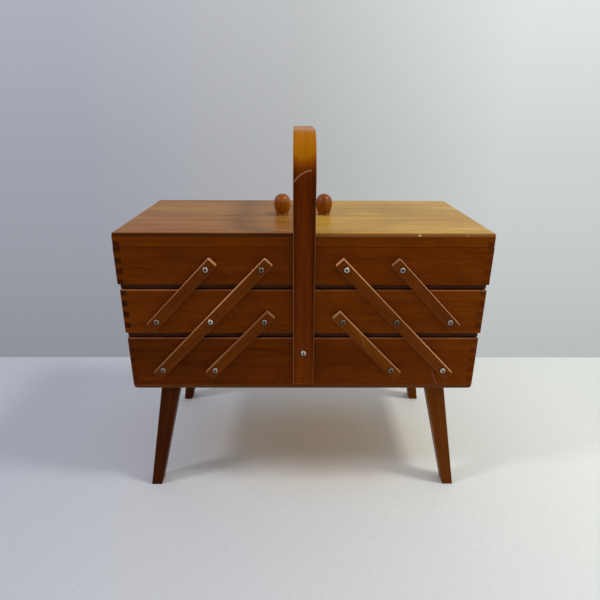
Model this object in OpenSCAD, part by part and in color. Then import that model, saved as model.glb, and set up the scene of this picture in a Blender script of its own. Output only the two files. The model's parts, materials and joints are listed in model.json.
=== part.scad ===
/* [Boxes] */
// Width over the base box
base_w = 422; // [380:1:500]
// How far each tier stands out past the one under it, on each side
tier_step = 1.5; // [0:0.5:3]
// Gap between the left and the right trays
tray_gap = 8.4; // [4:0.2:16]
// Depth of every box, front to back
depth = 210; // [170:1:250]
// Thickness of the wall boards
wall_t = 8; // [6:0.5:10]
// Thickness of the bottom panels
panel_t = 6; // [4:0.5:8]
// Height of the base box's walls
base_wall_h = 65; // [58:0.5:90]
// Height of the middle trays' walls
mid_wall_h = 55; // [48:0.5:75]
// Height of the top trays' walls, up to the seam of the lid
top_wall_h = 44.4; // [38:0.1:65]
// Height of the lids' fingered rims
rim_h = 12; // [9:0.5:18]
// Thickness of the lids' top panels
lid_t = 4; // [3:0.5:6]
// Play under each box that rests on another, and in the lids' seam
rest_gap = 0.3; // [0.2:0.1:0.6]
// Height aimed at for one finger of the corner joints
finger_h = 6.5; // [5:0.5:10]
// Glue line in the corner joints, on each board
glue_line = 0.03; // [0.01:0.01:0.05]
// How far the trays' bottom panels stand back from the walls
panel_in = 2.5; // [0.5:0.5:4]
// Rounding under the trays' bottom panels
panel_round = 2; // [1:0.5:3]
// How far the base panel stands back from the walls
base_panel_in = 0.6; // [0.2:0.2:3]
// Rounding under the base panel
base_panel_round = 4; // [2:0.5:4.5]
// Rounding along the lids' upper edges
lid_round = 1.8; // [0.6:0.2:2.6]

/* [Legs] */
// Height of the legs
leg_h = 142; // [100:1:220]
// Width of a leg under the base
leg_top_w = 23; // [18:0.5:30]
// Width of a leg at the foot
leg_foot_w = 13.5; // [10:0.5:18]
// Thickness of a leg, front to back
leg_t = 18; // [14:0.5:24]
// From the side of the base to a leg's outer edge, at its top
leg_top_in = 33; // [20:1:50]
// The same at the foot
leg_foot_in = 9.5; // [4:0.5:20]
// From the front of the base back to a leg's front face, at its top
leg_top_back = 5; // [3:0.5:10]
// How far a foot stands out in front of the base
leg_foot_out = 8; // [0:0.5:12]
// Length of the leg screws below the base panel
leg_screw_in = 22; // [15:1:30]

/* [Arms] */
// Width of the arms
arm_w = 13; // [11:0.5:16]
// Thickness of the arms
arm_t = 6; // [4:0.5:8]
// How far an arm runs on past its last pivot
arm_end = 12; // [9:0.5:14]
// Rounding of the arms' corners
arm_corner = 1.5; // [0.5:0.5:3]
// Sideways step of an arm from one tier to the next
arm_reach = 61; // [50:0.5:66]
// Sideways distance between neighbouring arms
arm_spacing = 63; // [50:0.5:66]
// From the middle of the carrier to the long arms' top pivots
long_top_x = 48; // [44:0.5:60]
// Height of the lowest pivots above the base walls' lower edge
base_pivot_up = 24.5; // [15:0.5:35]
// Height of the top pivots above the top trays' lower edge
top_pivot_up = 19.9; // [12:0.1:28]
// Play between an arm and the wall behind it
arm_gap = 0.3; // [0.2:0.1:0.6]

/* [Screws] */
// Diameter of the pivot screws' shanks
screw_d = 3.8; // [3:0.1:5]
// Diameter of their heads
head_d = 7.5; // [6:0.1:9]
// Height of their heads
head_h = 2.2; // [1.6:0.1:3]
// Depth of the pivot screws in the walls
screw_in = 6; // [4:0.5:7]
// Play between a screw's head and the arm under it
head_gap = 0.2; // [0.1:0.1:0.4]
// Play of a bore round its screw or pin, on the radius
bore_play = 0.05; // [0.02:0.01:0.09]
// Diameter of the leg screws' shanks
leg_screw_d = 4; // [3:0.5:5]
// Diameter of the leg screws' countersunk heads
leg_head_d = 8; // [7:0.5:9]

/* [Handle] */
// Width of the bent strap
strap_w = 25; // [20:0.5:30]
// Thickness of the strap
strap_t = 5.5; // [4:0.5:8]
// Height of the handle's pivots above the base walls' lower edge
handle_pivot_up = 47.6; // [40:0.2:52]
// From a pivot up to the top of the handle
handle_rise = 252.4; // [230:0.2:290]
// From a pivot down to the strap's end
handle_tail = 42.6; // [30:0.2:44]
// Outer radius of the strap's bends
bend_r = 52; // [30:1:80]
// Lean of the handle to the right as it stands, in degrees
handle_lean = 0; // [-10:0.5:10]
// Diameter of the small nail hole low in the front of the strap
nail_d = 1.6; // [1:0.1:2.5]
// From the pivot down to that nail hole
nail_down = 34.5; // [15:0.5:38]

/* [Knobs and hinges] */
// Height of a knob above its lid
knob_h = 26.5; // [20:0.5:32]
// Largest diameter of a knob
knob_d = 21.2; // [16:0.5:24]
// Diameter of a knob just above its collar
knob_foot_d = 15.5; // [12:0.5:16]
// Diameter of the thin collar under a knob
knob_collar_d = 16.6; // [14:0.2:20]
// Height of that collar
knob_collar_h = 1.4; // [0.8:0.2:2]
// Diameter of the knob's tenon through the lid
tenon_d = 8; // [6:0.5:10]
// From the middle of the carrier to a knob's axis
knob_x = 27; // [22:0.5:50]
// Length of a hinge
hinge_len = 26; // [18:1:40]
// Width of a hinge leaf, let into the edge of its board
leaf_w = 6; // [4:0.5:7]
// Thickness of a hinge leaf
leaf_t = 1; // [0.6:0.1:1.4]
// Radius of a hinge's barrel
barrel_r = 2.2; // [1.8:0.1:3]
// Radius of a hinge's pin
hinge_pin_r = 1; // [0.7:0.1:1.2]
// From the middle of the depth to each hinge
hinge_y = 62; // [40:1:75]

/* [Hidden] */
$fn = 64;
// Overrun of a cut past the surface that it opens
cut = 1;
side_wood = "#7A3F12";
front_wood = "#6B330D";
panel_wood = "#8A5A2B";
arm_wood = "#74390F";
lid_wood = "#A9783F";
knob_wood = "#9C5516";
nickel = "#B9B6AE";
brass = "#B08D4A";

// Levels, from the floor up
base_z = leg_h + panel_t;
mid_panel_z = base_z + base_wall_h + rest_gap;
mid_z = mid_panel_z + panel_t;
top_panel_z = mid_z + mid_wall_h + rest_gap;
top_z = top_panel_z + panel_t;
seam_z = top_z + top_wall_h + rest_gap / 2;
rim_z = seam_z + rest_gap / 2;
lid_z = rim_z + rim_h;
lid_top_z = lid_z + lid_t;

// A box is [low x, high x, walls' lower edge, walls' height]
half_w = base_w / 2;
front_y = -depth / 2;
base_box = [-half_w, half_w, base_z, base_wall_h];
mid_box = [tray_gap / 2, half_w + tier_step, mid_z, mid_wall_h];
top_box = [tray_gap / 2, half_w + 2 * tier_step, top_z, top_wall_h];
rim_box = [top_box[0], top_box[1], rim_z, rim_h];

// Pivots on the right side, as [x, z]: every arm makes the same step from tier to tier
arm_rise = (top_z + top_pivot_up - base_z - base_pivot_up) / 2;
long_1 = [long_top_x + 2 * arm_reach, base_z + base_pivot_up];
long_2 = long_1 + [-arm_reach, arm_rise];
long_3 = long_2 + [-arm_reach, arm_rise];
low_1 = long_1 - [arm_spacing, 0];
low_2 = long_2 - [arm_spacing, 0];
high_1 = long_2 + [arm_spacing, 0];
high_2 = long_3 + [arm_spacing, 0];
handle_pivot = [0, base_z + handle_pivot_up];
arm_tilt = atan2(arm_rise, -arm_reach);
arm_step = norm([arm_reach, arm_rise]);

// A leg's outer edge and front face, at its top and at the foot
top_x = half_w - leg_top_in;
foot_x = half_w - leg_foot_in;
top_y = front_y + leg_top_back;
foot_y = front_y - leg_foot_out;

screw_r = screw_d / 2;
bore_r = screw_r + bore_play;
arm_lift = arm_gap + arm_t + head_gap;
strap_lift = arm_gap + strap_t + head_gap;
hinge_x = top_box[1] + barrel_r + 0.2;
leaf_edge = hinge_x - barrel_r - 0.1;
knuckle = hinge_len / 3;

module on_left() { mirror([1, 0, 0]) children(); }
module on_rear() { mirror([0, 1, 0]) children(); }
module front_and_rear() { children(); on_rear() children(); }
module all_corners() {
    front_and_rear() children();
    on_left() front_and_rear() children();
}

// Face of a board whose ends are cut into fingers; the top finger is cut away when first is 0
module fingered_face(low, high, z, h, first) {
    n = max(2, round(h / finger_h));
    one = h / n;
    difference() {
        translate([low, z])
            square([high - low, h]);
        for (i = [first : 2 : n - 1]) {
            under = i == n - 1 ? cut : glue_line;
            over = i == 0 ? cut : glue_line;
            for (x = [low - cut, high - wall_t - glue_line])
                translate([x, z + h - (i + 1) * one - under])
                    square([wall_t + glue_line + cut, one + under + over]);
        }
    }
}

// A board across the front of a box, with a pilot hole at each of the pivots
module front_board(box, first = 0, pivots = []) {
    difference() {
        translate([0, front_y + wall_t, 0])
            rotate([90, 0, 0])
                linear_extrude(wall_t)
                    fingered_face(box[0], box[1], box[2], box[3], first);
        for (p = pivots)
            translate([p[0], front_y - cut, p[1]])
                rotate([-90, 0, 0])
                    cylinder(r = bore_r, h = screw_in + 0.5 + cut);
    }
}

// A board along one side of a box, from x inwards to x + wall_t
module side_board(x, box, first = 1) {
    translate([x, 0, 0])
        rotate([90, 0, 90])
            linear_extrude(wall_t)
                fingered_face(-depth / 2, depth / 2, box[2], box[3], first);
}
module outer_board(box, first = 1) { side_board(box[1] - wall_t, box, first); }
module inner_board(box, first = 1) { side_board(box[0], box, first); }

// A plain board outline whose two lower corners are rounded
module rounded_edge(low, high, h, r) {
    translate([low, r])
        square([high - low, h - r]);
    translate([low + r, 0])
        square([high - low - 2 * r, h]);
    for (x = [low + r, high - r])
        intersection() {
            translate([x, r])
                circle(r);
            translate([x - r, 0])
                square([2 * r, r]);
        }
}

// A panel rounded all round its lower edge
module panel(low, high, half_depth, h, r) {
    intersection() {
        translate([0, half_depth, 0])
            rotate([90, 0, 0])
                linear_extrude(2 * half_depth)
                    rounded_edge(low, high, h, r);
        translate([low, 0, 0])
            rotate([90, 0, 90])
                linear_extrude(high - low)
                    rounded_edge(-half_depth, half_depth, h, r);
    }
}
module tray_bottom(box) {
    translate([0, 0, box[2] - panel_t])
        panel(box[0] + panel_in, box[1] - panel_in, depth / 2 - panel_in, panel_t, panel_round);
}

// Round pan head with a cross recess, head upwards, shank down from the origin
module screw(shank, length, head, height) {
    dome = (head * head / 4 + height * height) / (2 * height);
    difference() {
        rotate_extrude() {
            translate([0, -length])
                square([shank / 2, length]);
            intersection() {
                translate([0, height - dome])
                    circle(dome);
                square([head / 2, height]);
            }
        }
        for (a = [0, 90])
            rotate([0, 0, a])
                translate([-head * 0.29, -head * 0.07, height * 0.45])
                    cube([head * 0.58, head * 0.14, height]);
        translate([0, 0, height * 0.3])
            cylinder(h = height, d = head * 0.32);
    }
}
module pivot_screw(p, lift) {
    translate([p[0], front_y - lift, p[1]])
        rotate([90, 0, 0])
            screw(screw_d, lift + screw_in, head_d, head_h);
}

// A flat bar from its lowest pivot at the origin along +X, drawn in its own plane
module bar_face(length) {
    r = arm_corner;
    low = -arm_end;
    high = length + arm_end;
    translate([low + r, -arm_w / 2])
        square([high - low - 2 * r, arm_w]);
    translate([low, -arm_w / 2 + r])
        square([high - low, arm_w - 2 * r]);
    for (x = [low + r, high - r], y = [-arm_w / 2 + r, arm_w / 2 - r])
        translate([x, y])
            circle(r);
}

// An arm in front of the right side, from pivot p up over a number of tiers
module arm(p, tiers) {
    translate([p[0], front_y - arm_gap, p[1]])
        rotate([90, 0, 0])
            rotate([0, 0, arm_tilt])
                linear_extrude(arm_t)
                    difference() {
                        bar_face(tiers * arm_step);
                        for (i = [0 : tiers])
                            translate([i * arm_step, 0])
                                circle(bore_r);
                    }
}

// A leg under the right front corner, tapered and splayed both ways
module leg() {
    difference() {
        intersection() {
            translate([0, top_y + leg_t + cut, 0])
                rotate([90, 0, 0])
                    linear_extrude(leg_t + leg_top_back + leg_foot_out + 2 * cut)
                        polygon([
                            [foot_x - leg_foot_w, 0], [foot_x, 0],
                            [top_x, leg_h], [top_x - leg_top_w, leg_h],
                        ]);
            translate([top_x - leg_top_w - cut, 0, 0])
                rotate([90, 0, 90])
                    linear_extrude(foot_x - top_x + leg_top_w + 2 * cut)
                        polygon([
                            [foot_y, 0], [foot_y + leg_t, 0],
                            [top_y + leg_t, leg_h], [top_y, leg_h],
                        ]);
        }
        leg_screw_places()
            translate([0, 0, leg_h - leg_screw_in - 0.5])
                cylinder(d = leg_screw_d + 2 * bore_play, h = leg_screw_in + cut);
    }
}

// Two screws a leg, about its middle line at half their depth
module leg_screw_places() {
    down = leg_screw_in / 2 / leg_h;
    mid_x = (top_x - leg_top_w / 2) * (1 - down) + (foot_x - leg_foot_w / 2) * down;
    mid_y = (top_y + leg_t / 2) * (1 - down) + (foot_y + leg_t / 2) * down;
    for (side = [-0.2, 0.2])
        translate([mid_x + side * leg_top_w, mid_y, 0])
            children();
}

// Countersunk screw, its flat head level with the origin
module flat_screw(shank, length, head) {
    sink = (head - shank) / 2;
    difference() {
        rotate_extrude()
            polygon([
                [0, 0], [head / 2, 0], [shank / 2, -sink],
                [shank / 2, -length], [0, -length],
            ]);
        translate([-head * 0.4, -head * 0.06, -sink * 0.5])
            cube([head * 0.8, head * 0.12, sink]);
    }
}

// Side view of the bent strap, from its ends up to the top; turned to stand front to back
module strap_face(inset) {
    half = depth / 2 + arm_gap + strap_t - inset;
    top = handle_rise - inset;
    r = bend_r - inset;
    translate([-half, -handle_tail])
        square([2 * half, top - r + handle_tail]);
    translate([-half + r, -handle_tail])
        square([2 * half - 2 * r, top + handle_tail]);
    for (y = [-half + r, half - r])
        translate([y, top - r])
            circle(r);
}

// One half of a hinge about the origin along Y: knuckle spans, and on which side the leaf lies
module hinge_half(spans, up) {
    leaf_low = up ? rest_gap / 2 : -rest_gap / 2 - leaf_t;
    plate_x = leaf_edge - leaf_w - hinge_x;
    for (s = spans) {
        translate([0, s[0], 0])
            rotate([-90, 0, 0])
                cylinder(r = barrel_r, h = s[1] - s[0]);
        translate([plate_x, s[0], leaf_low])
            cube([-plate_x, s[1] - s[0], leaf_t]);
    }
    translate([plate_x, -hinge_len / 2, leaf_low])
        cube([leaf_w, hinge_len, leaf_t]);
}
module hinge_places() {
    for (y = [-hinge_y, hinge_y])
        translate([hinge_x, y, seam_z])
            children();
}

// Pockets for the leaves in the edges of the boards that meet at the seam
module hinge_pockets() {
    hinge_places()
        translate([leaf_edge - leaf_w - hinge_x - bore_play, -hinge_len / 2 - bore_play,
                   -rest_gap / 2 - leaf_t - bore_play])
            cube([leaf_w + cut, hinge_len + 2 * bore_play, rest_gap + 2 * leaf_t + 2 * bore_play]);
}

// Turned outline of a knob, from its collar up, with the tenon below
module knob_outline() {
    r = knob_d / 2;
    wide_z = knob_h - r;
    taper = r - knob_foot_d / 2;
    rise = wide_z - knob_collar_h;
    swell = (taper * taper + rise * rise) / (2 * taper);
    translate([0, -lid_t])
        square([tenon_d / 2, lid_t + knob_collar_h]);
    square([knob_collar_d / 2, knob_collar_h]);
    intersection() {
        translate([r - swell, wide_z])
            circle(swell, $fn = 180);
        translate([0, knob_collar_h])
            square([r, rise]);
    }
    intersection() {
        translate([0, wide_z])
            circle(r);
        translate([0, wide_z])
            square([r, r]);
    }
}

// The base box and its legs
module base_front() { color(front_wood) front_board(base_box, 0, base_holes()); }
module base_rear() { color(front_wood) on_rear() front_board(base_box, 0, base_holes()); }
function base_holes() = [long_1, low_1, handle_pivot, [-long_1[0], long_1[1]], [-low_1[0], low_1[1]]];
module base_right() { color(side_wood) outer_board(base_box); }
module base_left() { color(side_wood) on_left() outer_board(base_box); }
module base_bottom() {
    inset = half_w - base_panel_in;
    color(panel_wood)
        difference() {
            translate([0, 0, leg_h])
                panel(-inset, inset, depth / 2 - base_panel_in, panel_t, base_panel_round);
            all_corners()
                leg_screw_places()
                    translate([0, 0, base_z])
                        countersink();
        }
}
module countersink() {
    r = leg_screw_d / 2 + bore_play;
    sink = (leg_head_d - leg_screw_d) / 2;
    rotate_extrude()
        polygon([
            [0, cut], [r + sink + cut, cut], [r, -sink], [r, -panel_t - cut], [0, -panel_t - cut],
        ]);
}
module leg_front_right() { color(side_wood) leg(); }
module leg_front_left() { color(side_wood) on_left() leg(); }
module leg_rear_right() { color(side_wood) on_rear() leg(); }
module leg_rear_left() { color(side_wood) on_left() on_rear() leg(); }
module leg_screws() {
    color(nickel)
        all_corners()
            leg_screw_places()
                translate([0, 0, base_z - bore_play])
                    flat_screw(leg_screw_d, panel_t + leg_screw_in, leg_head_d);
}
module base_pivot_screws() {
    color(nickel)
        all_corners() {
            pivot_screw(long_1, arm_lift);
            pivot_screw(low_1, arm_lift);
        }
}

// The handle
module handle() {
    color(arm_wood)
        translate([handle_pivot[0], 0, handle_pivot[1]])
            rotate([0, handle_lean, 0])
                difference() {
                    translate([-strap_w / 2, 0, 0])
                        rotate([90, 0, 90])
                            linear_extrude(strap_w)
                                difference() {
                                    strap_face(0);
                                    translate([0, -cut])
                                        strap_face(strap_t);
                                    strap_face(strap_t);
                                }
                    front_and_rear()
                        translate([0, front_y, 0])
                            rotate([90, 0, 0])
                                cylinder(r = bore_r, h = arm_gap + strap_t + cut);
                    translate([0, front_y - arm_gap - strap_t / 2, -nail_down])
                        rotate([90, 0, 0])
                            cylinder(d = nail_d, h = strap_t);
                }
}
module handle_screws() { color(nickel) front_and_rear() pivot_screw(handle_pivot, strap_lift); }

// The arms
module right_long_arm_front() { color(arm_wood) arm(long_1, 2); }
module right_long_arm_rear() { color(arm_wood) on_rear() arm(long_1, 2); }
module left_long_arm_front() { color(arm_wood) on_left() arm(long_1, 2); }
module left_long_arm_rear() { color(arm_wood) on_left() on_rear() arm(long_1, 2); }
module right_lower_arm_front() { color(arm_wood) arm(low_1, 1); }
module right_lower_arm_rear() { color(arm_wood) on_rear() arm(low_1, 1); }
module left_lower_arm_front() { color(arm_wood) on_left() arm(low_1, 1); }
module left_lower_arm_rear() { color(arm_wood) on_left() on_rear() arm(low_1, 1); }
module right_upper_arm_front() { color(arm_wood) arm(high_1, 1); }
module right_upper_arm_rear() { color(arm_wood) on_rear() arm(high_1, 1); }
module left_upper_arm_front() { color(arm_wood) on_left() arm(high_1, 1); }
module left_upper_arm_rear() { color(arm_wood) on_left() on_rear() arm(high_1, 1); }

// The middle trays
module mid_face() { front_board(mid_box, 0, [long_2, low_2, high_1]); }
module right_mid_front() { color(front_wood) mid_face(); }
module right_mid_rear() { color(front_wood) on_rear() mid_face(); }
module right_mid_outer() { color(side_wood) outer_board(mid_box); }
module right_mid_inner() { color(side_wood) inner_board(mid_box); }
module right_mid_bottom() { color(panel_wood) tray_bottom(mid_box); }
module left_mid_front() { color(front_wood) on_left() mid_face(); }
module left_mid_rear() { color(front_wood) on_left() on_rear() mid_face(); }
module left_mid_outer() { color(side_wood) on_left() outer_board(mid_box); }
module left_mid_inner() { color(side_wood) on_left() inner_board(mid_box); }
module left_mid_bottom() { color(panel_wood) on_left() tray_bottom(mid_box); }
module mid_screws() { front_and_rear() for (p = [long_2, low_2, high_1]) pivot_screw(p, arm_lift); }
module right_mid_screws() { color(nickel) mid_screws(); }
module left_mid_screws() { color(nickel) on_left() mid_screws(); }

// The top trays
module top_face() { front_board(top_box, 0, [long_3, high_2]); }
module top_outer() { difference() { outer_board(top_box); hinge_pockets(); } }
module right_top_front() { color(front_wood) top_face(); }
module right_top_rear() { color(front_wood) on_rear() top_face(); }
module right_top_outer() { color(side_wood) top_outer(); }
module right_top_inner() { color(side_wood) inner_board(top_box); }
module right_top_bottom() { color(panel_wood) tray_bottom(top_box); }
module left_top_front() { color(front_wood) on_left() top_face(); }
module left_top_rear() { color(front_wood) on_left() on_rear() top_face(); }
module left_top_outer() { color(side_wood) on_left() top_outer(); }
module left_top_inner() { color(side_wood) on_left() inner_board(top_box); }
module left_top_bottom() { color(panel_wood) on_left() tray_bottom(top_box); }
module top_screws() { front_and_rear() for (p = [long_3, high_2]) pivot_screw(p, arm_lift); }
module right_top_screws() { color(nickel) top_screws(); }
module left_top_screws() { color(nickel) on_left() top_screws(); }

// The lids: a rim sawn from the same joints as the tray below, a thin panel and a knob
module lid_rim() {
    front_and_rear() front_board(rim_box, 1);
    inner_board(rim_box, 0);
    difference() {
        outer_board(rim_box, 0);
        hinge_pockets();
    }
}
module lid_panel() {
    difference() {
        translate([0, 0, lid_top_z])
            mirror([0, 0, 1])
                panel(rim_box[0], rim_box[1], depth / 2, lid_t, lid_round);
        translate([knob_x, 0, lid_z - cut])
            cylinder(d = tenon_d + 2 * bore_play, h = lid_t + 2 * cut);
    }
}
module knob() { translate([knob_x, 0, lid_top_z]) rotate_extrude() knob_outline(); }
module hinges_fixed() {
    ends = [[-hinge_len / 2, -knuckle / 2], [knuckle / 2, hinge_len / 2]];
    hinge_places() {
        hinge_half(ends, false);
        translate([0, -hinge_len / 2, 0])
            rotate([-90, 0, 0])
                cylinder(r = hinge_pin_r, h = hinge_len);
    }
}
module hinges_moving() {
    play = 2 * bore_play;
    hinge_places()
        difference() {
            hinge_half([[-knuckle / 2 + play, knuckle / 2 - play]], true);
            translate([0, -hinge_len / 2, 0])
                rotate([-90, 0, 0])
                    cylinder(r = hinge_pin_r + bore_play, h = hinge_len);
        }
}
module right_lid_rim() { color(front_wood) lid_rim(); }
module right_lid_panel() { color(lid_wood) lid_panel(); }
module right_knob() { color(knob_wood) knob(); }
module right_hinge_fixed() { color(brass) hinges_fixed(); }
module right_hinge_moving() { color(brass) hinges_moving(); }
module left_lid_rim() { color(front_wood) on_left() lid_rim(); }
module left_lid_panel() { color(lid_wood) on_left() lid_panel(); }
module left_knob() { color(knob_wood) on_left() knob(); }
module left_hinge_fixed() { color(brass) on_left() hinges_fixed(); }
module left_hinge_moving() { color(brass) on_left() hinges_moving(); }

base_front();
base_rear();
base_left();
base_right();
base_bottom();
leg_front_left();
leg_front_right();
leg_rear_left();
leg_rear_right();
leg_screws();
base_pivot_screws();
handle();
handle_screws();
left_long_arm_front();
left_long_arm_rear();
right_long_arm_front();
right_long_arm_rear();
left_lower_arm_front();
left_lower_arm_rear();
right_lower_arm_front();
right_lower_arm_rear();
left_upper_arm_front();
left_upper_arm_rear();
right_upper_arm_front();
right_upper_arm_rear();
left_mid_front();
left_mid_rear();
left_mid_outer();
left_mid_inner();
left_mid_bottom();
right_mid_front();
right_mid_rear();
right_mid_outer();
right_mid_inner();
right_mid_bottom();
left_mid_screws();
right_mid_screws();
left_top_front();
left_top_rear();
left_top_outer();
left_top_inner();
left_top_bottom();
right_top_front();
right_top_rear();
right_top_outer();
right_top_inner();
right_top_bottom();
left_top_screws();
right_top_screws();
left_lid_rim();
left_lid_panel();
left_knob();
left_hinge_fixed();
left_hinge_moving();
right_lid_rim();
right_lid_panel();
right_knob();
right_hinge_fixed();
right_hinge_moving();
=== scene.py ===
import json
import math

import bmesh
import bpy
import numpy as np
from mathutils import Matrix, Vector


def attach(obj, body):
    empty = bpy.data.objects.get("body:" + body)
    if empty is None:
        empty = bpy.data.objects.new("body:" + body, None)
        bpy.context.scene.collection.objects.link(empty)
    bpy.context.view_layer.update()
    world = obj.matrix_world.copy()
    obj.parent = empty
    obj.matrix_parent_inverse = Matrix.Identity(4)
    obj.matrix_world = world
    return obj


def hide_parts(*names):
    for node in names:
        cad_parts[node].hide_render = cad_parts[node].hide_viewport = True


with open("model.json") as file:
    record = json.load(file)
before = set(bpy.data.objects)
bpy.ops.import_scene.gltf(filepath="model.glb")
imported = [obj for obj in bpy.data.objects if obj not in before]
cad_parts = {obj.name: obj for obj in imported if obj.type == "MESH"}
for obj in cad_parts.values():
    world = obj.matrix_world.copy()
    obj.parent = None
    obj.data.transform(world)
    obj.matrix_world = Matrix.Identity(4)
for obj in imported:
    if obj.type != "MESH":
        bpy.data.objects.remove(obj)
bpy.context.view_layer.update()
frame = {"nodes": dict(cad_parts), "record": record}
cadNodes = frame["nodes"]
bodyOf = {node: body for body, members in frame["record"]["behaviour"]["bodies"].items() for node in members}
mm = 0.001
colourMix = {"data_type": "RGBA", "blend_type": "MIX"}
colourMultiply = {"data_type": "RGBA", "blend_type": "MULTIPLY"}


def linear(hexText):
    parts = [int(hexText[i : i + 2], 16) / 255 for i in (1, 3, 5)]
    return tuple(c / 12.92 if c <= 0.04045 else ((c + 0.055) / 1.055) ** 2.4 for c in parts) + (1.0,)


# Adds one node and gives back one of its outputs. Inputs are a list in the sockets' order, or a dictionary by name
# or number, and stops are a ramp's.
def put(tree, kind, inputs=(), out=0, stops=(), **fields):
    node = tree.nodes.new("ShaderNode" + kind)
    for name, value in fields.items():
        setattr(node, name, value)
    for name, value in inputs.items() if isinstance(inputs, dict) else enumerate(inputs):
        if isinstance(value, bpy.types.NodeSocket):
            tree.links.new(value, node.inputs[name])
        else:
            node.inputs[name].default_value = value
    if stops:
        elements = node.color_ramp.elements
        while len(elements) < len(stops):
            elements.new(0.5)
        for element, (at, shade) in zip(elements, stops):
            element.position = at
            element.color = linear(shade) if isinstance(shade, str) else (shade, shade, shade, 1.0)
    return node.outputs[out] if node.outputs else node


def newMaterial(name):
    material = bpy.data.materials.new(name)
    material.use_nodes = True
    tree = material.node_tree
    tree.nodes.clear()
    surface = put(tree, "BsdfPrincipled").node
    put(tree, "OutputMaterial", {"Surface": surface.outputs[0]})
    return material, tree, surface


# Camera: place in mm, turns in degrees
camera = {"place": (-9.1, -639.5, 470.1), "down": 21.277, "turn": 0.503, "roll": 0.280, "lens": 29.56, "sensor": 36}
down, turn, roll = (math.radians(camera[k]) for k in ("down", "turn", "roll"))
ahead = Vector((math.sin(turn) * math.cos(down), math.cos(turn) * math.cos(down), -math.sin(down)))
side = Vector((math.cos(turn), -math.sin(turn), 0))
up = side.cross(ahead)
sideRolled = math.cos(roll) * side + math.sin(roll) * up
upRolled = -math.sin(roll) * side + math.cos(roll) * up
lens = bpy.data.cameras.new("camera")
lens.lens = camera["lens"]
lens.sensor_width = camera["sensor"]
lens.clip_start = 10 * mm
eye = bpy.data.objects.new("camera", lens)
eyeAt = Vector(camera["place"]) * mm
eye.matrix_world = Matrix.Translation(eyeAt) @ Matrix((sideRolled, upRolled, -ahead)).transposed().to_4x4()
bpy.context.scene.collection.objects.link(eye)
bpy.context.scene.camera = eye
print("camera")

# Backdrop: cool on the left, pale on the right and paler towards the top. Spans are slopes of the line of sight.
backdrop = {
    "across": [(0.095, "#AEB0BC"), (0.5, "#BFC1C3"), (0.905, "#E0E4E4")],
    "acrossSpan": (-0.5, 0.5),
    "rise": [(0.04, 0.66), (0.35, 0.76), (0.65, 0.84), (1.0, 1.0)],
    "riseSpan": (-0.53, 0.17),
    "leastDepth": 0.05,
}


def backdropColour(tree, sideways, rise):
    across = put(tree, "MapRange", [sideways, *backdrop["acrossSpan"]])
    across = put(tree, "ValToRGB", [across], stops=backdrop["across"])
    level = put(tree, "MapRange", [rise, *backdrop["riseSpan"]])
    level = put(tree, "ValToRGB", [level], stops=backdrop["rise"])
    return put(tree, "Mix", {0: 1.0, 6: across, 7: level}, 2, **colourMultiply)


# The camera sees the backdrop, and so do polished metal and varnish
def seesBackdrop(tree):
    path = put(tree, "LightPath").node.outputs
    either = put(tree, "Math", [path["Is Glossy Ray"], path["Is Transmission Ray"]], operation="MAXIMUM")
    return put(tree, "Math", [path["Is Camera Ray"], either], operation="MAXIMUM")


# Light: a cool even room that is darker in front, and two soft lamps above, warm on the right and cool on the left.
# Places and sizes of the lamps are in metres, and the levels of the room run from the front to the back.
light = {
    "room": [(0.0, "#A4A8B4"), (0.5, "#BFC2C7"), (1.0, "#DADAD4")],
    "levels": [(0.0, 0.3), (0.4, 0.45), (0.7, 0.9), (1.0, 1.0)],
    "strength": 1.22,
    "lamps": [
        {"place": (0.78, -0.25, 1.50), "size": 0.24, "power": 8.8, "shade": "#FFFDF2"},
        {"place": (-1.15, -0.48, 1.45), "size": 0.24, "power": 6.4, "shade": "#F4F2FF"},
    ],
    "target": (0, 0, 0.2),
}
world = bpy.data.worlds.new("world")
bpy.context.scene.world = world
world.use_nodes = True
tree = world.node_tree
tree.nodes.clear()
x, y, z = put(tree, "SeparateXYZ", [put(tree, "TexCoord", out="Generated")]).node.outputs
room = put(tree, "ValToRGB", [put(tree, "MapRange", [x, -1.0, 1.0])], stops=light["room"])
level = put(tree, "ValToRGB", [put(tree, "MapRange", [y, -1.0, 1.0])], stops=light["levels"])
overhead = put(tree, "Math", [z, 1.0], operation="MULTIPLY", use_clamp=True)
level = put(tree, "Math", [level, overhead], operation="MAXIMUM")
level = put(tree, "CombineColor", [level, level, level])
room = put(tree, "Mix", {0: 1.0, 6: room, 7: level}, 2, **colourMultiply)
depth = put(tree, "Math", [y], operation="ABSOLUTE")
depth = put(tree, "Math", [depth, backdrop["leastDepth"]], operation="MAXIMUM")
sideways, rise = (put(tree, "Math", [part, depth], operation="DIVIDE") for part in (x, z))
seenLight = put(tree, "Background", {"Color": backdropColour(tree, sideways, rise)})
roomLight = put(tree, "Background", {"Color": room, "Strength": light["strength"]})
put(tree, "OutputWorld", {"Surface": put(tree, "MixShader", [seesBackdrop(tree), roomLight, seenLight])})
for number, one in enumerate(light["lamps"]):
    lamp = bpy.data.lights.new(f"lamp{number}", "AREA")
    lamp.size = one["size"]
    lamp.energy = one["power"]
    lamp.color = linear(one["shade"])[:3]
    holder = bpy.data.objects.new(f"lamp{number}", lamp)
    holder.location = one["place"]
    holder.rotation_euler = (Vector(one["place"]) - Vector(light["target"])).to_track_quat("Z", "Y").to_euler()
    bpy.context.scene.collection.objects.link(holder)

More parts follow.
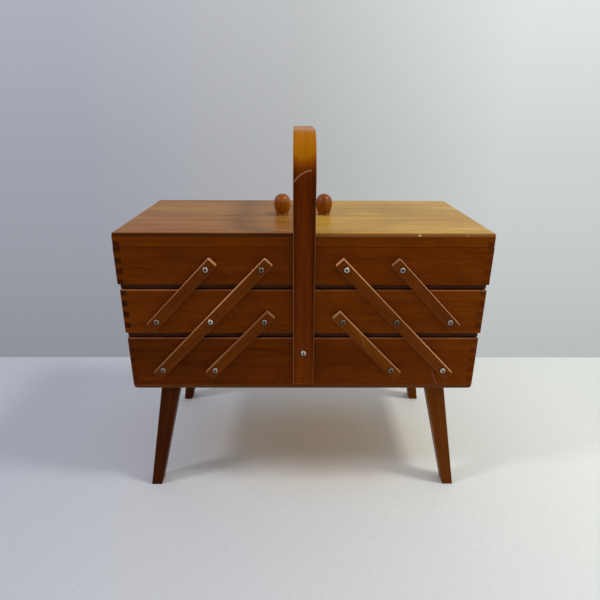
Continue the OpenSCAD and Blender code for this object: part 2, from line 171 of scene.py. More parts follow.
# Floor: matt white paint, slightly rough, so it shows soft shadows and no shine. Its colour carries a painted shade,
# cool grey on the left and white on the right, where more light falls. Its extents are in metres.
floor = {
    "half": 8.0,
    "near": -3.0,
    "far": 0.248,
    "end": 9.0,
    "shades": {"matt white paint": ("#C2C4CE", "#F4F7F2"), "matt white paint far off, glowing as backdrop": ("#D9DBE0", "#ECEDEC")},
    "paintedShadeSpan": (-0.45, 0.45),
    "gritWidth": 6.2,  # mm, coarser than real grit, which would not show
    "rough": 0.9,
    "specular": 0.1,
    "bump": {"Strength": 0.25, "Distance": 0.6 * mm},
    "under": {"Location": (-0.1, 0.1, 0), "Scale": (4.5, 6.5, 0)},
    "underShade": "#F4E8D6",
}
bm = bmesh.new()
bmesh.ops.create_grid(bm, x_segments=1, y_segments=1, size=floor["half"])
bmesh.ops.scale(bm, verts=bm.verts, vec=(1, (floor["end"] - floor["near"]) / 2 / floor["half"], 1))
bmesh.ops.translate(bm, verts=bm.verts, vec=(0, (floor["end"] + floor["near"]) / 2, 0))
geom = bm.verts[:] + bm.edges[:] + bm.faces[:]
bmesh.ops.bisect_plane(bm, geom=geom, dist=1e-6, plane_co=(0, floor["far"], 0), plane_no=(0, 1, 0))
for face in bm.faces:
    face.material_index = int(face.calc_center_median().y > floor["far"])
floorMesh = bpy.data.meshes.new("floor")
bm.to_mesh(floorMesh)
bm.free()
ground = bpy.data.objects.new("floor", floorMesh)
bpy.context.scene.collection.objects.link(ground)
for name, (shadedLeft, litRight) in floor["shades"].items():
    material, tree, surface = newMaterial(name)
    at = put(tree, "TexCoord", out="Object")
    x, y = put(tree, "SeparateXYZ", [at]).node.outputs[:2]
    rightwardLit = put(tree, "MapRange", [x, *floor["paintedShadeSpan"]])
    grit = put(tree, "TexNoise", {"Vector": at, "Scale": 1 / (floor["gritWidth"] * mm), "Detail": 3.0})
    # painted shade: darker and cooler to the left, whiter to the right
    shade = put(tree, "ValToRGB", [rightwardLit], stops=[(0.0, shadedLeft), (1.0, litRight)])
    gritShade = put(tree, "ValToRGB", [grit], stops=[(0.3, 0.93), (0.6, 1.0)])
    shade = put(tree, "Mix", {0: 0.5, 6: shade, 7: gritShade}, 2, **colourMultiply)
    surface.inputs["Roughness"].default_value = floor["rough"]
    surface.inputs["Specular IOR Level"].default_value = floor["specular"]
    tree.links.new(put(tree, "Bump", {"Height": grit} | floor["bump"]), surface.inputs["Normal"])
    if name == "matt white paint":
        # what the stained wood throws back on to the floor under the box
        under = put(tree, "Mapping", {"Vector": at} | floor["under"])
        under = put(tree, "VectorMath", [under], out="Value", operation="LENGTH")
        under = put(tree, "MapRange", [under, 1.0, 0.1], interpolation_type="SMOOTHSTEP")
        shade = put(tree, "Mix", {0: under, 6: shade, 7: linear(floor["underShade"])}, 2, **colourMultiply)
    else:
        # the camera and reflections see the far floor glow in the backdrop's colours, a painted light that is cooler
        # to the left and darker nearer the camera, so its end draws no line
        depth = put(tree, "Math", [y, eyeAt.y], operation="SUBTRACT")
        sideways = put(tree, "Math", [x, eyeAt.x], operation="SUBTRACT")
        sideways = put(tree, "Math", [sideways, depth], operation="DIVIDE")
        rise = put(tree, "Math", [-eyeAt.z, depth], operation="DIVIDE")
        glow = put(tree, "Emission", {"Color": backdropColour(tree, sideways, rise)})
        chosen = put(tree, "MixShader", [seesBackdrop(tree), surface.outputs[0], glow])
        tree.links.new(chosen, tree.nodes["Material Output"].inputs["Surface"])
    tree.links.new(shade, surface.inputs["Base Color"])
    floorMesh.materials.append(material)
print("light and floor")

# Wood. The mesh carries "grain" (metres, X along the fibres), "endGrainAndShade", "worn", "bare" and "tone".
# Pairs of sizes are length and width in mm. Pores are drawn four times too wide, as real ones would not show.
# Marks run from one place to another on the front, in mm.
plainWood = {
    "clouds": (200, 45),
    "streaks": (140, 6.7),
    "fibres": (33, 1.1),
    "pores": (11, 0.4),
    "shares": {"streaks": 0.6, "clouds": 0.5, "fibres": 0.45},
    "contrast": 0.7,
    "toneShare": 0.35,
    "paleness": 0.55,
    "ringGap": 9.2,
    "ringTilt": (0, 0.02, 0.035),
    "ringStops": [(0.0, 1.0), (0.72, 1.0), (0.93, 0.72), (1.0, 0.86)],
    "ringMix": 0.45,
    "poreStops": [(0.0, 0.35), (0.3, 0.55), (0.42, 1.0)],
    "poreMix": 0.6,
    "endMix": 0.75,
    "wearAndHighlightMix": 0.7,
    "coat": 0.0,
    "coatRough": 0.15,
    "bump": {"Strength": 0.35, "Distance": 0.4 * mm},
    "marks": [],
}
looks = {
    # Sawn boards under brown spirit stain and shellac: red brown, with dark late wood and a low sheen
    "box_wood": {
        "called": "stained beech boards",
        "shades": [(0.1, "#3D1600"), (0.42, "#6A2E00"), (0.62, "#783601"), (0.95, "#8A4402")],
        "end": "#280F02",
        "endMix": 0.8,
        "worn": "#A8714A",
        "rough": (0.34, 0.5),
        "specular": 0.03,
        "contrast": 0.85,
        "marks": [
            {"from": (158.8, 169.5), "to": (162.9, 156.7), "wide": 0.6, "shade": "#B09C94", "mix": 0.45},
            {"from": (162.9, 156.7), "to": (169.0, 146.0), "wide": 0.6, "shade": "#B09C94", "mix": 0.4},
            {"from": (-141.1, 193.4), "to": (-139.2, 194.6), "wide": 1.2, "shade": "#B08468", "mix": 0.6},
            {"from": (-153.7, 180.9), "to": (-151.8, 181.8), "wide": 1.1, "shade": "#B08468", "mix": 0.6},
        ],
    },
    # Sliced veneer under honey varnish: yellow brown, with fine straight streaks, paler than the boards
    "lid_panel": {
        "called": "honey varnished veneer",
        "shades": [(0.15, "#81531A"), (0.42, "#A97B2B"), (0.6, "#B98D35"), (0.85, "#CFA94E")],
        "end": "#87582A",
        "endMix": 0.95,
        "worn": "#C79B6C",
        "rough": (0.24, 0.36),
        "specular": 0.05,
        "streaks": (140, 4.8),
        "contrast": 1.1,
        "marks": [
            {"from": (127.6, 338.6), "to": (129.3, 338.9), "wide": 1.8, "shade": "#F0D29A", "mix": 0.9},
            {"from": (181.0, 339.0), "to": (184.0, 338.4), "wide": 1.0, "shade": "#D9A870", "mix": 0.6},
        ],
    },
    # Thin plywood, stained inside and bare below, where its pale face shows. Its edges are drawn dark as end grain
    # and as painted shade, where they sit back under the walls of their tray
    "bottom_panel": {
        "called": "birch plywood panels",
        "shades": [(0.1, "#4A1E06"), (0.42, "#6E3609"), (0.62, "#7E440E"), (0.95, "#93581C")],
        "end": "#45200B",
        "endMix": 0.95,
        "worn": "#9A6A44",
        "bare": "#D0A878",
        "rough": (0.35, 0.5),
        "specular": 0.1,
    },
    # Planed strips under the boards' stain, with corners rubbed down to pale wood, and a bright painted highlight on
    # their upper faces and edges
    "arm_wood": {
        "called": "stained beech arms",
        "shades": [(0.1, "#3B1500"), (0.42, "#642C00"), (0.62, "#753701"), (0.95, "#864604")],
        "end": "#3B1C0A",
        "worn": "#F4BC80",
        "wearAndHighlightMix": 0.85,
        "rough": (0.26, 0.38),
        "specular": 0.05,
        "marks": [
            {"from": (65.5, 224.1), "to": (69.8, 215.0), "wide": 0.7, "shade": "#A07C42", "mix": 0.7},
            {"from": (69.8, 215.0), "to": (73.2, 206.4), "wide": 0.7, "shade": "#A07C42", "mix": 0.7},
            {"from": (73.2, 206.4), "to": (80.4, 195.0), "wide": 0.7, "shade": "#8A6430", "mix": 0.6},
        ],
    },
    # Bent strip with grain that follows its bends, rubbed to orange varnish where it is held, which is also a painted
    # highlight where the bend turns up to the light.
    # Its sides darken from 6.5 to 12.5 mm off the middle, and the scratch is part of a circle.
    "bent_handle": {
        "called": "steam-bent beech strap",
        "shades": [(0.1, "#3E1500"), (0.42, "#6A2B00"), (0.62, "#7E3A01"), (0.8, "#914901"), (1.0, "#AC6704")],
        "end": "#35170A",
        "worn": "#C88A50",
        "rough": (0.22, 0.32),
        "specular": 0.02,
        "coat": 0.03,
        "coatRough": 0.2,
        "contrast": 0.6,
        "sideDark": 0.25,
        "sideFrom": (6.5, 12.5),
        "scratch": {"centre": (231.0, 9.5), "radius": 24.8, "run": (243.5, 259.0), "side": 7.0, "shade": "#D8A98A"},
    },
    # Tapered legs, the darkest pieces
    "leg_wood": {
        "called": "tapered beech legs",
        "shades": [(0.1, "#371300"), (0.42, "#5A2601"), (0.62, "#6A3102"), (0.95, "#7A4206")],
        "end": "#2C1208",
        "worn": "#8A5A3C",
        "rough": (0.3, 0.42),
        "specular": 0.05,
    },
    # Lathe-turned beech under clear gloss lacquer: close rings and one sharp highlight
    "turned_knob": {
        "called": "lacquered turned knobs",
        "shades": [(0.1, "#4A1C02"), (0.4, "#7C3A04"), (0.6, "#A65A0A"), (0.9, "#CE8420")],
        "end": "#6B330C",
        "endMix": 0.3,
        "worn": "#C08050",
        "rough": (0.14, 0.24),
        "specular": 0.1,
        "coat": 0.35,
        "coatRough": 0.04,
        "streaks": (140, 3.1),
        "ringGap": 3.5,
        "contrast": 0.9,
    },
}
# The left lid kept more of its stain, so it is browner, and this darker copy of the lid's look is also a painted
# shade of the dimmer light and duller reflection on the left
looks["lid_panel_left_stained_and_shaded"] = looks["lid_panel"] | {
    "called": "brown stained veneer",
    "shades": [(0.15, "#6C3C14"), (0.42, "#8C5820"), (0.6, "#996627"), (0.85, "#A97936")],
    "end": "#421C06",
    "contrast": 1.4,
    "marks": [],
}
ringTurn = math.pi / 10  # a wave texture of scale 1 repeats after this many metres


def drawMarks(tree, colour, marks):
    at = put(tree, "TexCoord", out="Object")
    inFront = put(tree, "SeparateXYZ", [at], out=1)
    inFront = put(tree, "Math", [inFront, -0.1], operation="LESS_THAN")
    flat = put(tree, "VectorMath", [at, (1.0, 0.0, 1.0)], operation="MULTIPLY")
    for mark in marks:
        (ax, az), (bx, bz) = mark["from"], mark["to"]
        start, run = Vector((ax, 0, az)) * mm, Vector((bx - ax, 0, bz - az)) * mm
        off = put(tree, "VectorMath", [flat, start], operation="SUBTRACT")
        along = put(tree, "VectorMath", [off, run.normalized()], out="Value", operation="DOT_PRODUCT")
        along = put(tree, "Math", [along, 0.0], operation="MAXIMUM")
        along = put(tree, "Math", [along, run.length], operation="MINIMUM")
        foot = put(tree, "VectorMath", {0: run.normalized(), "Scale": along}, operation="SCALE")
        away = put(tree, "VectorMath", [off, foot], operation="SUBTRACT")
        away = put(tree, "VectorMath", [away], out="Value", operation="LENGTH")
        near = put(tree, "MapRange", [away, mark["wide"] * mm * 0.6, mark["wide"] * mm * 0.3])
        near = put(tree, "Math", [near, inFront], operation="MULTIPLY")
        near = put(tree, "Math", [near, mark["mix"]], operation="MULTIPLY")
        colour = put(tree, "Mix", {0: near, 6: colour, 7: linear(mark["shade"])}, 2, **colourMix)
    return colour


def drawScratch(tree, colour, at, scratch):
    run, across = put(tree, "SeparateXYZ", [at]).node.outputs[:2]
    centre = Vector((*scratch["centre"], 0)) * mm
    off = put(tree, "VectorMath", [at, centre], operation="SUBTRACT")
    off = put(tree, "VectorMath", [off, (1.0, 1.0, 0.0)], operation="MULTIPLY")
    off = put(tree, "VectorMath", [off], out="Value", operation="LENGTH")
    off = put(tree, "Math", [off, scratch["radius"] * mm], operation="SUBTRACT")
    near = put(tree, "MapRange", [put(tree, "Math", [off], operation="ABSOLUTE"), 0.5 * mm, 0.2 * mm])
    begin, end = (limit * mm for limit in scratch["run"])
    for part, limit, operation in (
        (run, begin, "GREATER_THAN"),
        (run, end, "LESS_THAN"),
        (across, scratch["side"] * mm, "LESS_THAN"),
    ):
        within = put(tree, "Math", [part, limit], operation=operation)
        near = put(tree, "Math", [near, within], operation="MULTIPLY")
    near = put(tree, "Math", [near, 0.65], operation="MULTIPLY")
    return put(tree, "Mix", {0: near, 6: colour, 7: linear(scratch["shade"])}, 2, **colourMix)


def woodMaterial(look):
    material, tree, surface = newMaterial(look["called"])
    at = put(tree, "Attribute", out="Vector", attribute_name="grain")
    tone = put(tree, "Attribute", out="Fac", attribute_name="tone")
    ends = put(tree, "Attribute", out="Fac", attribute_name="endGrainAndShade")
    worn = put(tree, "Attribute", out="Fac", attribute_name="worn")

    def stretched(size, detail, distortion=0.0):
        along, across = (1 / (length * mm) for length in size)
        scaled = put(tree, "Mapping", {"Vector": at, "Scale": (along, across, across)})
        return put(tree, "TexNoise", {"Vector": scaled, "Scale": 1.0, "Detail": detail, "Distortion": distortion})

    clouds = stretched(look["clouds"], 2)
    streaks = stretched(look["streaks"], 4, 0.4)
    fibres = stretched(look["fibres"], 3)
    pores = stretched(look["pores"], 1)
    tilted = put(tree, "Mapping", {"Vector": at, "Rotation": look["ringTilt"]})
    ringSettings = {"Scale": ringTurn / (look["ringGap"] * mm), "Distortion": 5.0, "Detail": 2.0, "Detail Scale": 0.6}
    rings = put(
        tree, "TexWave", {"Vector": tilted} | ringSettings, out="Fac", wave_type="RINGS", rings_direction="X"
    )

    # how pale the wood is, from its tone and three patterns
    body = put(tree, "Math", [tone, look["toneShare"]], operation="MULTIPLY")
    for part, name in ((streaks, "streaks"), (clouds, "clouds"), (fibres, "fibres")):
        part = put(tree, "Math", [part, 0.5], operation="SUBTRACT")
        part = put(tree, "Math", [part, look["shares"][name] * look["contrast"]], operation="MULTIPLY")
        body = put(tree, "Math", [body, part], operation="ADD")
    body = put(tree, "Math", [body, look["paleness"]], operation="ADD")
    if "sideDark" in look:
        rim = put(tree, "Math", [put(tree, "SeparateXYZ", [at], out=1)], operation="ABSOLUTE")
        fromMiddle, toSide = (reach * mm for reach in look["sideFrom"])
        rim = put(tree, "MapRange", [rim, fromMiddle, toSide, 0.0, look["sideDark"]])
        body = put(tree, "Math", [body, rim], operation="SUBTRACT")
    colour = put(tree, "ValToRGB", [body], stops=look["shades"])
    late = put(tree, "ValToRGB", [rings], stops=look["ringStops"])
    colour = put(tree, "Mix", {0: look["ringMix"], 6: colour, 7: late}, 2, **colourMultiply)
    pitted = put(tree, "ValToRGB", [pores], stops=look["poreStops"])
    colour = put(tree, "Mix", {0: look["poreMix"], 6: colour, 7: pitted}, 2, **colourMultiply)
    # end grain, and painted shade on the set-back edges of the bottom panels
    ended = put(tree, "Math", [ends, look["endMix"]], operation="MULTIPLY")
    colour = put(tree, "Mix", {0: ended, 6: colour, 7: linear(look["end"])}, 2, **colourMix)
    # wear and painted highlight: eased edges and faces that turn up are drawn paler
    rubbed = put(tree, "ValToRGB", [clouds], stops=[(0.35, 0.25), (0.6, look["wearAndHighlightMix"])])
    rubbed = put(tree, "Math", [worn, rubbed], operation="MULTIPLY")
    colour = put(tree, "Mix", {0: rubbed, 6: colour, 7: linear(look["worn"])}, 2, **colourMix)
    if "scratch" in look:
        colour = drawScratch(tree, colour, at, look["scratch"])
    if "bare" in look:
        bare = put(tree, "Attribute", out="Fac", attribute_name="bare")
        colour = put(tree, "Mix", {0: bare, 6: colour, 7: linear(look["bare"])}, 2, **colourMix)
    tree.links.new(drawMarks(tree, colour, look["marks"]), surface.inputs["Base Color"])

    smoothest, roughest = look["rough"]
    sheen = put(tree, "MapRange", [fibres, 0.0, 1.0, smoothest, roughest])
    endRough = put(tree, "Math", [ends, 0.15], operation="MULTIPLY")
    tree.links.new(put(tree, "Math", [sheen, endRough], operation="ADD"), surface.inputs["Roughness"])
    surface.inputs["Specular IOR Level"].default_value = look["specular"]
    surface.inputs["Coat Weight"].default_value = look["coat"]
    surface.inputs["Coat Roughness"].default_value = look["coatRough"]
    raised = put(tree, "Math", [fibres, 0.6], operation="MULTIPLY")
    sunken = put(tree, "Math", [pitted, 0.5], operation="MULTIPLY")
    height = put(tree, "Math", [raised, sunken], operation="ADD")
    tree.links.new(put(tree, "Bump", {"Height": height} | look["bump"]), surface.inputs["Normal"])
    return material


woods = {slot: woodMaterial(plainWood | look) for slot, look in looks.items()}

# Metal. The mesh of a screw's head carries "rim", its distance from the middle, and "dull". Mottling is in mm.
# dull heads: a brown film that is also a painted dark reflection
dullFilmAndDarkReflection = "#523620"  # the brown film on dull heads
metalLooks = {
    # Nickel-plated steel, pressed and polished: bright, mirror-like heads with a few dull ones, whose brown film is
    # also a painted dark reflection
    "nickel": {
        "called": "nickel-plated steel",
        "bright": "#F6ECDC",
        "dark": "#BCAC94",
        "rough": (0.18, 0.36),
        "mottle": 1.1,
    },
    # Rolled brass, stamped and left raw: yellow, with a soft brown film in patches of 2 mm
    "brass": {
        "called": "rolled brass",
        "bright": "#AE8842",
        "dark": "#866632",
        "rough": (0.28, 0.5),
        "mottle": 2.0,
    },
}


def metalMaterial(look):
    material, tree, surface = newMaterial(look["called"])
    at = put(tree, "TexCoord", out="Object")
    spots = put(tree, "TexNoise", {"Vector": at, "Scale": 1 / (look["mottle"] * mm), "Detail": 4.0})
    rim = put(tree, "Attribute", out="Fac", attribute_name="rim")
    dull = put(tree, "Attribute", out="Fac", attribute_name="dull")
    colour = put(tree, "ValToRGB", [spots], stops=[(0.38, look["dark"]), (0.62, look["bright"])])
    # painted shade: each head darkens towards its edge, where it meets the wood
    rimShade = put(tree, "ValToRGB", [rim], stops=[(0.7, 1.0), (0.92, 0.12)])
    colour = put(tree, "Mix", {0: 1.0, 6: colour, 7: rimShade}, 2, **colourMultiply)
    dulling = put(tree, "Math", [dull, 0.85], operation="MULTIPLY")
    colour = put(tree, "Mix", {0: dulling, 6: colour, 7: linear(dullFilmAndDarkReflection)}, 2, **colourMix)
    tree.links.new(colour, surface.inputs["Base Color"])
    smoothest, roughest = look["rough"]
    sheen = put(tree, "MapRange", [spots, 0.0, 1.0, roughest, smoothest])
    dulling = put(tree, "Math", [dull, 0.25], operation="MULTIPLY")
    tree.links.new(put(tree, "Math", [sheen, dulling], operation="ADD"), surface.inputs["Roughness"])
    surface.inputs["Metallic"].default_value = 1.0
    return material


metals = {slot: metalMaterial(look) for slot, look in metalLooks.items()}

# The screws' recesses are drawn nearly black and matt, a painted shade of their hollows, with specks given in mm
recessShadeLook = {"shades": [(0.4, "#0A0705"), (0.75, "#2A211A")], "speck": 0.67, "rough": 0.8}
recessShade, tree, surface = newMaterial("painted shade in recesses")
at = put(tree, "TexCoord", out="Object")
specks = put(tree, "TexNoise", {"Vector": at, "Scale": 1 / (recessShadeLook["speck"] * mm), "Detail": 2.0})
tree.links.new(put(tree, "ValToRGB", [specks], stops=recessShadeLook["shades"]), surface.inputs["Base Color"])
surface.inputs["Roughness"].default_value = recessShadeLook["rough"]
print("materials")


# The separate solids of a mesh
def islands(bm):
    left = set(bm.verts)
    while left:
        reached, front = set(), [left.pop()]
        while front:
            vert = front.pop()
            reached.add(vert)
            for edge in vert.link_edges:
                other = edge.other_vert(vert)
                if other in left:
                    left.discard(other)
                    front.append(other)
        yield reached


# Runs of joined edges
def chains(edges):
    left = set(edges)
    while left:
        chain, front = set(), [left.pop()]
        while front:
            edge = front.pop()
            chain.add(edge)
            for vert in edge.verts:
                for other in vert.link_edges:
                    if other in left:
                        left.discard(other)
                        front.append(other)
        yield chain


def span(points):
    return (
        Vector([min(p[i] for p in points) for i in range(3)]),
        Vector([max(p[i] for p in points) for i in range(3)]),
    )


# Edges that hands have rubbed round: planes cut the edge between two outward directions close to a circle
rubCuts = 3
mergeWithin = 0.002 * mm


def rubEdges(bm, pairs, radius):
    low, high = span([v.co for v in bm.verts])
    for outA, outB in pairs:
        corner = Vector([high[i] if outA[i] + outB[i] > 0 else low[i] for i in range(3)])
        middle = corner - (outA + outB) * radius
        for cut in range(1, rubCuts + 1):
            angle = math.pi / 2 * cut / (rubCuts + 1)
            out = outA * math.cos(angle) + outB * math.sin(angle)
            parts = bm.verts[:] + bm.edges[:] + bm.faces[:]
            made = bmesh.ops.bisect_plane(
                bm, geom=parts, dist=1e-6, plane_co=middle + out * radius, plane_no=out, clear_outer=True
            )
            bmesh.ops.edgeloop_fill(bm, edges=[e for e in made["geom_cut"] if isinstance(e, bmesh.types.BMEdge)])
    bmesh.ops.recalc_face_normals(bm, faces=bm.faces)


def mergedCopy(node, rubbed=()):
    bm = bmesh.new()
    bm.from_mesh(cadNodes[node].data)
    bmesh.ops.remove_doubles(bm, verts=bm.verts, dist=mergeWithin)
    for pairs, radius in rubbed:
        rubEdges(bm, pairs, radius)
    return bm


# Sharp edges are eased by a small bevel. On boards these are the outer edges only, and elsewhere all but the rims of
# bores. The wear is that of eased sides, of upper faces and of eased upper edges, and it is also a painted highlight
# where they catch the light, most where they turn up. Angles are in degrees.
easing = {
    "flat": 0.5,
    "sharp": 50,
    "steps": 2,
    "boreRim": 12.5 * mm,
    "outerWithin": 0.05 * mm,
    "crownFrom": 0.25,
    "upperFrom": 0.5,
}


def easedCopy(node, width, boards, wearAndHighlightShares, rubbed=()):
    sideWearAndHighlight, upperWearAndHighlight, crownWearAndHighlight = wearAndHighlightShares
    bm = mergedCopy(node, rubbed)
    flat, sharp = math.radians(easing["flat"]), math.radians(easing["sharp"])
    bmesh.ops.dissolve_limit(bm, angle_limit=flat, verts=bm.verts, edges=bm.edges)
    chosen = []
    for verts in list(islands(bm)):
        low, high = span([v.co for v in verts])

        def outside(face):
            axis = max(range(3), key=lambda i: abs(face.normal[i]))
            level = face.calc_center_median()[axis]
            reach = min(abs(level - low[axis]), abs(level - high[axis]))
            return abs(face.normal[axis]) > 0.99 and reach < easing["outerWithin"]

        edges = {e for v in verts for e in v.link_edges if e.is_manifold and e.calc_face_angle() > sharp}
        if boards:
            edges = {e for e in edges if all(outside(face) for face in e.link_faces)}
        for chain in chains(edges):
            a, b = span([v.co for e in chain for v in e.verts])
            if boards or (b - a).length > easing["boreRim"]:
                chosen.extend(chain)
    worn = bm.faces.layers.float.new("worn")
    made = bmesh.ops.bevel(
        bm, geom=chosen, offset=width, segments=easing["steps"], profile=0.5, affect="EDGES", clamp_overlap=True
    )
    # wear and painted highlight: bevels that turn up take the crown share, the rest the side share
    for face in made["faces"]:
        face[worn] = crownWearAndHighlight if face.normal.z > easing["crownFrom"] else sideWearAndHighlight
    # wear and painted highlight on faces that turn up
    for face in bm.faces:
        if upperWearAndHighlight and face.normal.z > easing["upperFrom"] and not face[worn]:
            face[worn] = upperWearAndHighlight
    return bm


def longAxis(points):
    spread = np.array([tuple(p) for p in points])
    return Vector(np.linalg.eigh(np.cov((spread - spread.mean(0)).T))[1][:, 2])


# Every board gets its own stretch of grain, moved in metres by its seed and its number in the mesh, and kept near
# the tree's middle. A panel's edges turn to end grain where they round over, and on the bottom panels this darkness
# is also painted shade.
grainShift = {"step": (0.37, 0.061, 0.043), "perSeed": 1.7, "perSolid": 0.83, "within": (3.0, 0.11, 0.07)}
grainStart = Vector((0, 0.02, 0.01))
panelEdge = {"from": 0.96, "within": 0.25}


def layGrain(bm, seed, axis=None, tone=0.0, paintedLightAcross=0.0, endDark=1.0, panel=False):
    grain = bm.verts.layers.float_vector.new("grain")
    tones = bm.verts.layers.float.new("tone")
    ends = bm.faces.layers.float.new("endGrainAndShade")
    bare = bm.faces.layers.float.new("bare")
    if "worn" not in bm.faces.layers.float:
        bm.faces.layers.float.new("worn")
    for number, verts in enumerate(list(islands(bm))):
        low, high = span([v.co for v in verts])
        size = high - low
        along = axis
        if along is None:
            along = Vector((1, 0, 0)) if size.x > size.y else Vector((0, 1, 0))
        elif along == "long":
            along = longAxis([v.co for v in verts])
        across = along.cross(Vector((0, 0, 1)) if abs(along.z) < 0.9 else Vector((0, 1, 0))).normalized()
        third = along.cross(across)
        turns = seed * grainShift["perSeed"] + number * grainShift["perSolid"]
        shift = Vector([step * turns % within for step, within in zip(grainShift["step"], grainShift["within"])])
        middle = (low + high) / 2
        for vert in verts:
            part = vert.co - middle
            vert[grain] = Vector((part.dot(along), part.dot(across), part.dot(third))) + shift + grainStart
            # painted light: the tone rises towards the right, where more light falls
            vert[tones] = tone + paintedLightAcross * vert.co.x
        for face in {f for v in verts for f in v.link_faces}:
            if panel:
                face[bare] = 1.0 if face.normal.z < -0.9 else 0.0
                # edges that round over: end grain, and on bottom panels painted shade
                turned = (panelEdge["from"] - abs(face.normal.z)) / panelEdge["within"]
                face[ends] = endDark * min(1.0, max(0.0, turned))
            else:
                face[ends] = endDark if abs(face.normal.dot(along)) > 0.7 else 0.0


def placePiece(name, bm, materials, slot, node, even=True):
    mesh = bpy.data.meshes.new(name)
    bm.to_mesh(mesh)
    bm.free()
    for material in materials:
        mesh.materials.append(material)
    mesh.shade_smooth()
    mesh.set_sharp_from_angle(angle=math.radians(35))
    piece = bpy.data.objects.new(name, mesh)
    bpy.context.scene.collection.objects.link(piece)
    if even:
        piece.modifiers.new("even", "WEIGHTED_NORMAL").keep_sharp = True
    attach(piece, bodyOf[node])
    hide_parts(node)


def woodPiece(node, slot, seed, ease=0.0, boards=False, wearAndHighlightShares=(0.3, 0.0, 1.0), look=None, rubbed=(), **grain):
    bm = easedCopy(node, ease * mm, boards, wearAndHighlightShares, rubbed) if ease else mergedCopy(node, rubbed)
    layGrain(bm, seed, **grain)
    placePiece(node + "_wood", bm, [woods[look or slot]], slot, node)


# Boxes, trays and lids: easing and rubbed radii in mm
boxes = {
    "ease": 1.2,
    "wearAndHighlightShares": (0.3, 0.0, 1.0),
    "topEase": 0.6,
    "topWearAndHighlight": (0.2, 0.0, 0.1),
    "rimEase": 0.5,
    "rimWearAndHighlight": (0.05, 0.0, 0.05),
    "rimRub": 2,
    "lidCornerRub": 3,
    "lidEdgeRub": 3.2,
    "footRub": 5.9,
    # the right boxes are paler, partly their own tone and partly painted light from the right; the base front grows
    # paler towards the right, a painted light
    "tone": {"base": -0.2, "left_mid": 0.15, "right_mid": 0.5, "left_top": 0.05, "right_top": 0.25},
    "basePaintedLightAcross": 2.2,
    "endDark": {"base": 0.3, "left_mid": 1.0, "right_mid": 0.55, "left_top": 0.85, "right_top": 0.3},
    "lidLook": {"left": "lid_panel_left_stained_and_shaded", "right": "lid_panel"},
}
alongX, alongY, alongZ = Vector((1, 0, 0)), Vector((0, 1, 0)), Vector((0, 0, 1))
uprights = [(x, y) for x in (alongX, -alongX) for y in (alongY, -alongY)]
upperEdges = [(out, alongZ) for out in (alongX, -alongX, alongY, -alongY)]
lowerEnds = [(out, -alongZ) for out in (alongX, -alongX)]
lidRub = [(uprights, boxes["lidCornerRub"] * mm), (upperEdges, boxes["lidEdgeRub"] * mm)]
footRub = [(lowerEnds, boxes["footRub"] * mm)]
rimRub = [(uprights, boxes["rimRub"] * mm)]
seed = 1
kind = {"tone": boxes["tone"]["base"], "paintedLightAcross": boxes["basePaintedLightAcross"], "endDark": boxes["endDark"]["base"]}
for board in ("front", "rear", "left", "right"):
    woodPiece("base_" + board, "box_wood", seed, boxes["ease"], True, boxes["wearAndHighlightShares"], **kind)
    seed += 1
baseDark = boxes["endDark"]["base"]
woodPiece("base_bottom", "bottom_panel", seed, rubbed=footRub, axis=alongX, panel=True, endDark=baseDark)
for hand in ("left", "right"):
    for tier in ("mid", "top"):
        box = f"{hand}_{tier}"
        kind = {"tone": boxes["tone"][box], "endDark": boxes["endDark"][box]}
        ease, wearAndHighlightShares = (boxes["topEase"], boxes["topWearAndHighlight"]) if tier == "top" else (boxes["ease"], boxes["wearAndHighlightShares"])
        for board in ("front", "rear", "outer", "inner"):
            seed += 1
            woodPiece(f"{box}_{board}", "box_wood", seed, ease, True, wearAndHighlightShares, **kind)
        seed += 1
        woodPiece(f"{box}_bottom", "bottom_panel", seed, axis=alongX, panel=True)
    seed += 1
    woodPiece(f"{hand}_lid_rim", "box_wood", seed, boxes["rimEase"], True, boxes["rimWearAndHighlight"], rubbed=rimRub, **kind)
    seed += 1
    lidLook = boxes["lidLook"][hand]
    woodPiece(f"{hand}_lid_panel", "lid_panel", seed, look=lidLook, rubbed=lidRub, axis=alongX, panel=True)
    woodPiece(f"{hand}_knob", "turned_knob", seed, axis=alongZ)
print("boxes and lids")

# Legs and arms
# the right legs are paler and the left ones darker, partly painted light from the right
legs = {"ease": 0.8, "tone": {"left": -0.8, "right": 0.5}}
# the arms' upper faces are drawn pale, a painted highlight as well as wear
arms = {"ease": 0.65, "wearAndHighlightShares": (0.1, 0.9, 1.0), "tone": 0.1, "paleArm": "right_lower_arm", "paleTone": 0.6}
for hand in ("left", "right"):
    for face in ("front", "rear"):
        seed += 1
        woodPiece(f"leg_{face}_{hand}", "leg_wood", seed, legs["ease"], axis="long", tone=legs["tone"][hand])
        for arm in (f"{hand}_long_arm", f"{hand}_lower_arm", f"{hand}_upper_arm"):
            seed += 1
            tone = arms["paleTone"] if arm == arms["paleArm"] else arms["tone"]
            woodPiece(f"{arm}_{face}", "arm_wood", seed, arms["ease"], wearAndHighlightShares=arms["wearAndHighlightShares"], axis="long", tone=tone)

# Handle: sizes in mm. Its tone falls along the straight part and rises where it is held, over the bend, as wear and
# as a painted highlight.
handle = {
    "ease": 0.8,
    "wearAndHighlightShares": (0.7, 0.0, 1.0),
    "bend": 52,
    "thick": 5.5,
    "heldAndLitFrom": 4,
    "heldAndLitWithin": 30,
    "heldWearAndHighlightTone": 2.0,
    "straightTone": 0.5,
}


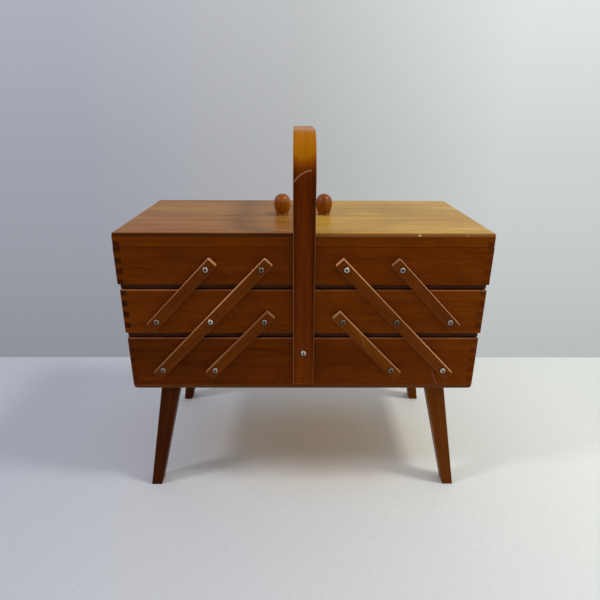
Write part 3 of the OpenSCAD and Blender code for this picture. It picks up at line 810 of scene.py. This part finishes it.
# The strap's grain follows its bends: X runs along the middle line from the front end to the rear end
def layStrapGrain(bm):
    grain = bm.verts.layers.float_vector.new("grain")
    tones = bm.verts.layers.float.new("tone")
    ends = bm.faces.layers.float.new("endGrainAndShade")
    low, high = span([v.co for v in bm.verts])
    bend, middleBend = handle["bend"] * mm, (handle["bend"] - handle["thick"] / 2) * mm
    turnY, turnZ = high.y - bend, high.z - bend
    straight, arc = turnZ - low.z, math.pi / 2 * middleBend
    whole = 2 * (straight + arc + turnY)
    for vert in bm.verts:
        out, rise = abs(vert.co.y) - turnY, vert.co.z - turnZ
        if rise <= 0:
            run, depth = vert.co.z - low.z, bend - out
        elif out <= 0:
            run, depth = straight + arc - out, bend - rise
        else:
            run, depth = straight + math.atan2(rise, out) * middleBend, bend - math.hypot(out, rise)
        vert[grain] = Vector((run if vert.co.y < 0 else whole - run, vert.co.x, depth))
        # wear and painted highlight, rising over the start of the bend
        heldAndLit = (run - straight - handle["heldAndLitFrom"] * mm) / (handle["heldAndLitWithin"] * mm)
        heldAndLit = min(1.0, max(0.0, heldAndLit))
        heldAndLit = heldAndLit * heldAndLit * (3 - 2 * heldAndLit)
        vert[tones] = handle["heldWearAndHighlightTone"] * heldAndLit - handle["straightTone"] * min(1.0, run / straight)
    for face in bm.faces:
        face[ends] = 1.0 if face.normal.z < -0.9 and face.calc_center_median().z < low.z + 1 * mm else 0.0


bm = easedCopy("handle", handle["ease"] * mm, False, handle["wearAndHighlightShares"])
layStrapGrain(bm)
placePiece("handle_wood", bm, [woods["bent_handle"]], "bent_handle", "handle")
print("legs, arms and handle")

# Screws and hinges keep the CAD shapes. A screw's recess is painted dark as the shade in its hollow.
# Sizes are in mm, and each dulled front or rear pair is found by the X and Z of its screws.
screws = {
    "headReach": 3.75,
    "recessReach": 2.4,
    "recessDepth": 1.9,
    "domeRadius": 4.3,
    "belowDome": 0.25,
    "dulled": {
        (-172, 236): 0.75,
        (-170, 172): 0.7,
        (-111, 300): 0.4,
        (-107, 172): 0.5,
        (-48, 300): 0.9,
        (-46, 236): 0.75,
        (46, 236): 0.95,
        (107, 172): 0.8,
        (109, 236): 1.0,
        (111, 300): 0.55,
        (172, 236): 0.5,
    },
}


def shadeScrewHeads(bm):
    rims, dulls = (bm.verts.layers.float.new(layer) for layer in ("rim", "dull"))
    for verts in list(islands(bm)):
        low, high = span([v.co for v in verts])
        middle = (low + high) / 2
        tip = low.y if middle.y < 0 else high.y
        dull = screws["dulled"].get((round(middle.x / mm), int(middle.z / mm)), 0.0)
        for vert in verts:
            vert[rims] = math.hypot(vert.co.x - middle.x, vert.co.z - middle.z) / (screws["headReach"] * mm)
            vert[dulls] = dull
        for face in {f for v in verts for f in v.link_faces}:
            at = face.calc_center_median()
            reach = math.hypot(at.x - middle.x, at.z - middle.z)
            depth = abs(at.y - tip)
            dome = reach * reach / (2 * screws["domeRadius"] * mm)
            inRecess = reach < screws["recessReach"] * mm and depth < screws["recessDepth"] * mm
            if inRecess and (abs(face.normal.y) < 0.5 or depth > dome + screws["belowDome"] * mm):
                # painted shade in the recess
                face.material_index = 1


for node in cadNodes:
    kind = "nickel" if "screws" in node else "brass" if "hinge" in node else None
    if not kind:
        continue
    bm = mergedCopy(node)
    if kind == "nickel" and node != "leg_screws":
        shadeScrewHeads(bm)
    placePiece(node + "_metal", bm, [metals[kind], recessShade], kind, node, even=False)
print("screws and hinges")

bpy.context.scene.view_settings.view_transform = "Standard"
